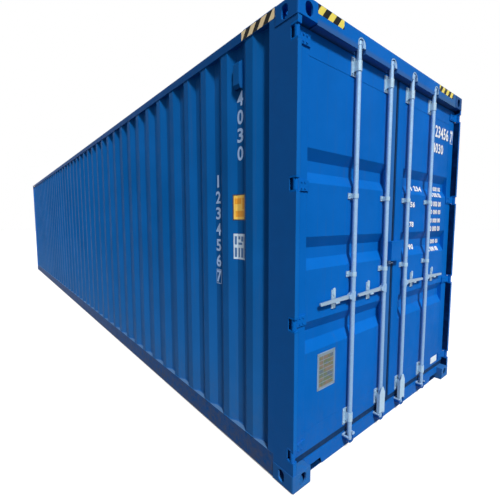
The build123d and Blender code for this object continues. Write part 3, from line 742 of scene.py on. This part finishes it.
# The table, by place and height of each row; rows in a trough start further out
ROW_WIDTH = 0.258
HEAD_HEIGHT = 0.044
TABLE_ROWS = (
    (0.745, 1.959, 0.040), (0.695, 1.898, 0.040), (0.685, 1.808, 0.046), (0.685, 1.734, 0.040),
    (0.685, 1.652, 0.040), (0.685, 1.570, 0.046), (0.745, 1.446, 0.040), (0.695, 1.375, 0.040),
)
TABLE_HEADS = (
    (0.335, 1.934, "1 234", 0.215), (0.285, 1.788, "56", 0.090),
    (0.285, 1.615, "78", 0.080), (0.355, 1.412, "90", 0.090),
)
for row, (y, z, height) in enumerate(TABLE_ROWS):
    door_digits(f"door_table_row_{row + 1}", "30 000 00", y, z, height, ROW_WIDTH, BOLD_WEIGHT)
for row, (y, z, text, width) in enumerate(TABLE_HEADS):
    door_digits(f"door_table_head_{row + 1}", text, y, z, HEAD_HEIGHT, width, BOLD_WEIGHT)


def sticker(name, y0, y1, z0, z1, material):
    """A thin film on the right door."""
    low, high = (LEAF_FRONT, y0, z0), (LEAF_FRONT + STICKER, y1, z1)
    return plate_piece(name, low, high, material, "right_door")


# The frame round the last digit of the top row, and a bare sticker low on the door
DIGIT_FRAME = (1.100, 1.163, 2.444, 2.573)
BARE_STICKER = (0.888, 1.036, 0.200, 0.266)
for row, line in enumerate(outline(*DIGIT_FRAME)):
    sticker(f"door_digit_frame_{row + 1}", *line, white_print)
sticker("door_white_sticker", *BARE_STICKER, label_white)


def mesh_piece(name, build, material, body):
    """A closed mesh, filled by a function, that rides on a CAD body."""
    return piece(name, built(name, build), material, body)


# The data plate: a riveted metal sheet with raised borders and bare fields
PLATE_Y = (-0.940, -0.750)
PLATE_Z = (0.545, 0.800)
PLATE_FACE = PANEL_FRONT + 0.0015
PLATE_RIVET = (0.0035, 0.002, 12)
RIVET_INSET = 0.011
BORDER = 0.006
BORDER_FACE = PLATE_FACE + 0.0006
CORNER = 0.020
FIELD_COLUMNS = ((0.020, 0.060), (0.064, 0.168))
FIELD_ROWS = 7
FIELD_LOW = 0.566
FIELD_STEP = 0.0305
FIELD_HEIGHT = 0.0255
FIELD_FACE = PLATE_FACE + 0.0003


def plate(work):
    """The sheet with a rivet in each corner."""
    add_box(work, (PANEL_FRONT, PLATE_Y[0], PLATE_Z[0]), (PLATE_FACE, PLATE_Y[1], PLATE_Z[1]))
    for y in (PLATE_Y[0] + RIVET_INSET, PLATE_Y[1] - RIVET_INSET):
        for z in (PLATE_Z[0] + RIVET_INSET, PLATE_Z[1] - RIVET_INSET):
            add_bolt(work, (PLATE_FACE + PLATE_RIVET[1] / 2, y, z), *PLATE_RIVET, "X")


def plate_edges(work):
    """Raised borders, which leave the corners free."""
    for y0, y1 in ((PLATE_Y[0], PLATE_Y[0] + BORDER), (PLATE_Y[1] - BORDER, PLATE_Y[1])):
        low = (PLATE_FACE, y0, PLATE_Z[0] + CORNER)
        add_box(work, low, (BORDER_FACE, y1, PLATE_Z[1] - CORNER))
    for z0, z1 in ((PLATE_Z[0], PLATE_Z[0] + BORDER), (PLATE_Z[1] - BORDER, PLATE_Z[1])):
        low = (PLATE_FACE, PLATE_Y[0] + CORNER, z0)
        add_box(work, low, (BORDER_FACE, PLATE_Y[1] - CORNER, z1))


def plate_fields(work):
    """Rows of a narrow and a wide field."""
    for row in range(FIELD_ROWS):
        z = FIELD_LOW + row * FIELD_STEP
        for y0, y1 in FIELD_COLUMNS:
            low = (PLATE_FACE, PLATE_Y[0] + y0, z)
            add_box(work, low, (FIELD_FACE, PLATE_Y[0] + y1, z + FIELD_HEIGHT))


mesh_piece("data_plate", plate, plate_metal, "left_door")
mesh_piece("data_plate_edges", plate_edges, plate_rim, "left_door")
mesh_piece("data_plate_rows", plate_fields, plate_rows, "left_door")

# Bolts, rivets and pin heads of the doors, each by radius, thickness and number of sides
BAR_PLACES = (0.172, 0.600)
END_LEVELS = (0.253, 2.686)
GUIDE_LEVELS = (1.300, 1.8395)
HINGE_LEVELS = (0.240, 1.0597, 1.8793, 2.699)
BRACKET_FACE = LEAF_FRONT + 0.006
END_BOLT = (0.0085, 0.006, 6)
END_BOLTS = [(y, z) for y in (-0.035, 0.035) for z in (-0.044, 0.044)]
GUIDE_BOLT = (0.0075, 0.005, 6)
GUIDE_BOLTS_Y = (-0.034, 0.034)
BLADE_RIVET = (0.007, 0.004, 14)
BLADE_RIVETS = [(y, z) for y in (1.095, 1.125) for z in (-0.018, 0.018)]
BLADE_FACE = LEAF_FRONT + 0.010
PIN_HEAD = (0.012, 0.004, 20)
PIN_HEADS_Z = (-0.048, 0.048)
PIN_X = HALF_LENGTH - 0.024
PIN_Y = HALF_WIDTH - 0.019
for side_name, side in (("left", -1), ("right", 1)):

    def bracket_bolts(work, side=side):
        for place in BAR_PLACES:
            for level in END_LEVELS:
                for y, z in END_BOLTS:
                    centre = (BRACKET_FACE + END_BOLT[1] / 2, side * place + y, level + z)
                    add_bolt(work, centre, *END_BOLT, "X")
            for level in GUIDE_LEVELS:
                for y in GUIDE_BOLTS_Y:
                    centre = (BRACKET_FACE + GUIDE_BOLT[1] / 2, side * place + y, level)
                    add_bolt(work, centre, *GUIDE_BOLT, "X")

    def hinge_rivets(work, side=side):
        for level in HINGE_LEVELS:
            for y, z in BLADE_RIVETS:
                add_bolt(work, (BLADE_FACE, side * y, level + z), *BLADE_RIVET, "X")

    def pin_heads(work, side=side):
        for level in HINGE_LEVELS:
            for z in PIN_HEADS_Z:
                add_bolt(work, (PIN_X, side * PIN_Y, level + z), *PIN_HEAD, "Z")

    door = f"{side_name}_door"
    mesh_piece(f"{side_name}_bracket_bolts", bracket_bolts, bracket_zinc, door)
    mesh_piece(f"{side_name}_hinge_rivets", hinge_rivets, blue_doors, door)
    mesh_piece(f"{side_name}_hinge_pin_heads", pin_heads, zinc, "frame")

# The staple: a base on the door, and a rod bent forward, across and back
ROD = 0.006
STAPLE_FACE = LEAF_FRONT + ROD
STAPLE_FRONT = LEAF_FRONT + 0.026
STAPLE_BASE = ((LEAF_FRONT, -0.062, 1.322), (STAPLE_FACE, -0.028, 1.346))
STAPLE_LEGS_Y = (-0.058, -0.037)
STAPLE_Z = 1.330


def staple(work):
    """A bent rod under the lock box for a padlock."""
    add_box(work, *STAPLE_BASE)
    for y in STAPLE_LEGS_Y:
        add_box(work, (STAPLE_FACE, y, STAPLE_Z), (STAPLE_FRONT, y + ROD, STAPLE_Z + ROD))
    low = (STAPLE_FRONT - ROD, STAPLE_LEGS_Y[0], STAPLE_Z)
    add_box(work, low, (STAPLE_FRONT, STAPLE_LEGS_Y[1] + ROD, STAPLE_Z + ROD))


mesh_piece("padlock_staple", staple, zinc, "left_door")


# Weld beads where the side walls meet the bottom and the top rails
BEAD = 0.005


def bead(work, points, up):
    """A ridge of triangular section along a line, on the side of z given by up."""
    rows = []
    for x, y, z, out in points:
        corners = ((x, y, z), (x, y + out * BEAD, z), (x, y, z + up * BEAD))
        rows.append([work.verts.new(corner) for corner in corners])
    for first, second in zip(rows, rows[1:]):
        for i, j in ((0, 1), (1, 2), (2, 0)):
            work.faces.new((first[i], second[i], second[j], first[j]))
    work.faces.new(rows[0])
    work.faces.new(rows[-1][::-1])


for side_name, side in (("left", -1), ("right", 1)):

    def wall_beads(work, side=side):
        """Beads that follow the corrugation along both edges of a wall."""
        for z, up in ((RAIL_TOP, 1), (TOP_RAIL_BOTTOM, -1)):
            line = []
            for x in wall_bends(WALL_CLOSED_END, WALL_DOOR_END):
                line.append((x, side * (WALL_OUTER - wall_depth(x)), z, side))
            bead(work, line, up)

    mesh_piece(f"{side_name}_wall_weld_beads", wall_beads, blue_walls, "frame")


# Camera: the photo's direction of view, but square pixels, and a focal length given in pixels
PICTURE_WIDTH = 500
FOCAL_PIXELS = 321.8
SENSOR_WIDTH = 36
CAMERA_PLACE = (7.336, -2.572, 1.668)
YAW, PITCH, ROLL = (math.radians(angle) for angle in (50.61, -5.09, -0.09))
camera_data = bpy.data.cameras.new("camera")
camera_data.sensor_width = SENSOR_WIDTH
camera_data.lens = FOCAL_PIXELS / PICTURE_WIDTH * SENSOR_WIDTH
camera = bpy.data.objects.new("camera", camera_data)
bpy.context.collection.objects.link(camera)
bpy.context.scene.camera = camera
ahead = Vector((-math.sin(YAW), math.cos(YAW), 0))
right = Vector((math.cos(YAW), math.sin(YAW), 0))
up = Vector((0, 0, 1))
look = ahead * math.cos(PITCH) + up * math.sin(PITCH)
tilt = up * math.cos(PITCH) - ahead * math.sin(PITCH)
cam_right = right * math.cos(ROLL) + tilt * math.sin(ROLL)
cam_up = tilt * math.cos(ROLL) - right * math.sin(ROLL)
camera.matrix_world = Matrix.Translation(CAMERA_PLACE) @ Matrix(
    (cam_right, cam_up, -look)
).transposed().to_4x4()
camera_data.clip_start = 0.05
camera_data.clip_end = 400

# Light: pale sky, brighter on one side, and one soft sun above and in front of the doors
SKY_COLOUR = (0.92, 0.95, 1.0, 1)
SKY_BRIGHT_SIDE = (0.80, 0.45, 0.40)
SKY_DIM, SKY_BRIGHT = 0.03, 0.42
SUN_FROM = (0.632, -0.262, 0.729)
SUN_STRENGTH = 3.8
SUN_COLOUR = (1.0, 0.98, 0.94)
SUN_WIDTH = math.radians(9)
WHITE = (1, 1, 1, 1)
scene = bpy.context.scene
scene.view_settings.view_transform = "Standard"
world = bpy.data.worlds.new("studio")
scene.world = world
world.use_nodes = True
sky = world.node_tree
background = sky.nodes["Background"]
background.inputs["Color"].default_value = SKY_COLOUR
direction = sky.nodes.new("ShaderNodeTexCoord").outputs["Generated"]
facing = sky.nodes.new("ShaderNodeVectorMath")
facing.operation = "DOT_PRODUCT"
sky.links.new(direction, facing.inputs[0])
facing.inputs[1].default_value = SKY_BRIGHT_SIDE
shade = sky.nodes.new("ShaderNodeMapRange")
sky.links.new(facing.outputs["Value"], shade.inputs["Value"])
shade.inputs["From Min"].default_value = -1
shade.inputs["To Min"].default_value = SKY_DIM
shade.inputs["To Max"].default_value = SKY_BRIGHT
sky.links.new(shade.outputs["Result"], background.inputs["Strength"])
shown_sky = sky.nodes.new("ShaderNodeBackground")
shown_sky.inputs["Color"].default_value = WHITE
shown_sky.inputs["Strength"].default_value = 1.0


def shown_rays(tree):
    """1 for the rays that show the pale background: from the camera, mirrored or let through."""
    rays = tree.nodes.new("ShaderNodeLightPath")
    share = rays.outputs["Is Camera Ray"]
    for name in ("Is Glossy Ray", "Is Transmission Ray"):
        larger = tree.nodes.new("ShaderNodeMath")
        larger.operation = "MAXIMUM"
        tree.links.new(share, larger.inputs[0])
        tree.links.new(rays.outputs[name], larger.inputs[1])
        share = larger.outputs["Value"]
    return share


choose = sky.nodes.new("ShaderNodeMixShader")
sky.links.new(shown_rays(sky), choose.inputs[0])
sky.links.new(background.outputs[0], choose.inputs[1])
sky.links.new(shown_sky.outputs[0], choose.inputs[2])
sky.links.new(choose.outputs[0], sky.nodes["World Output"].inputs["Surface"])

sun_data = bpy.data.lights.new("sun", "SUN")
sun_data.energy = SUN_STRENGTH
sun_data.angle = SUN_WIDTH
sun_data.color = SUN_COLOUR
sun = bpy.data.objects.new("sun", sun_data)
bpy.context.collection.objects.link(sun)
sun.rotation_mode = "QUATERNION"
sun.rotation_quaternion = Vector(SUN_FROM).to_track_quat("Z", "Y")

# The floor's half side, how far it lies below the castings, its white and what it throws back
FLOOR_HALF = 60
FLOOR_DROP = 0.001
FLOOR_PALE = ((0.80, 0.80, 0.80, 1), (0.84, 0.84, 0.84, 1))
FLOOR_THROWN = (0.14, 0.14, 0.15, 1)
FLOOR_GLOW = 0.28


def floor_look():
    """A floor that shows as white and keeps the shadow, and throws back little light."""
    m = Material("floor_look", specular=0.1)
    grain = m.noise(3.0, 5, 0.6)
    colour = m.mix(m.fit(grain, 0.3, 0.7), *FLOOR_PALE)
    shown = shown_rays(m.tree)
    colour = m.mix(shown, FLOOR_THROWN, colour)
    rough = m.fit(m.noise(20, 3), 0.3, 0.7, 0.75, 0.9)
    normal = m.bump(m.noise(80, 4), 0.0005, 0.3)
    m.put(m.shader.inputs["Emission Color"], WHITE)
    m.put(m.shader.inputs["Emission Strength"], m.calc("MULTIPLY", shown, FLOOR_GLOW))
    return m.finish(colour, rough, normal)


def ground(work):
    """One flat square."""
    bmesh.ops.create_grid(work, x_segments=1, y_segments=1, size=FLOOR_HALF)


floor_mesh = built("studio_floor", ground)
floor_mesh.materials.append(floor_look())
studio_floor = bpy.data.objects.new("studio_floor", floor_mesh)
studio_floor.location = (0, 0, -FLOOR_DROP)
bpy.context.collection.objects.link(studio_floor)
studio_floor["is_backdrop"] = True

low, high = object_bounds()
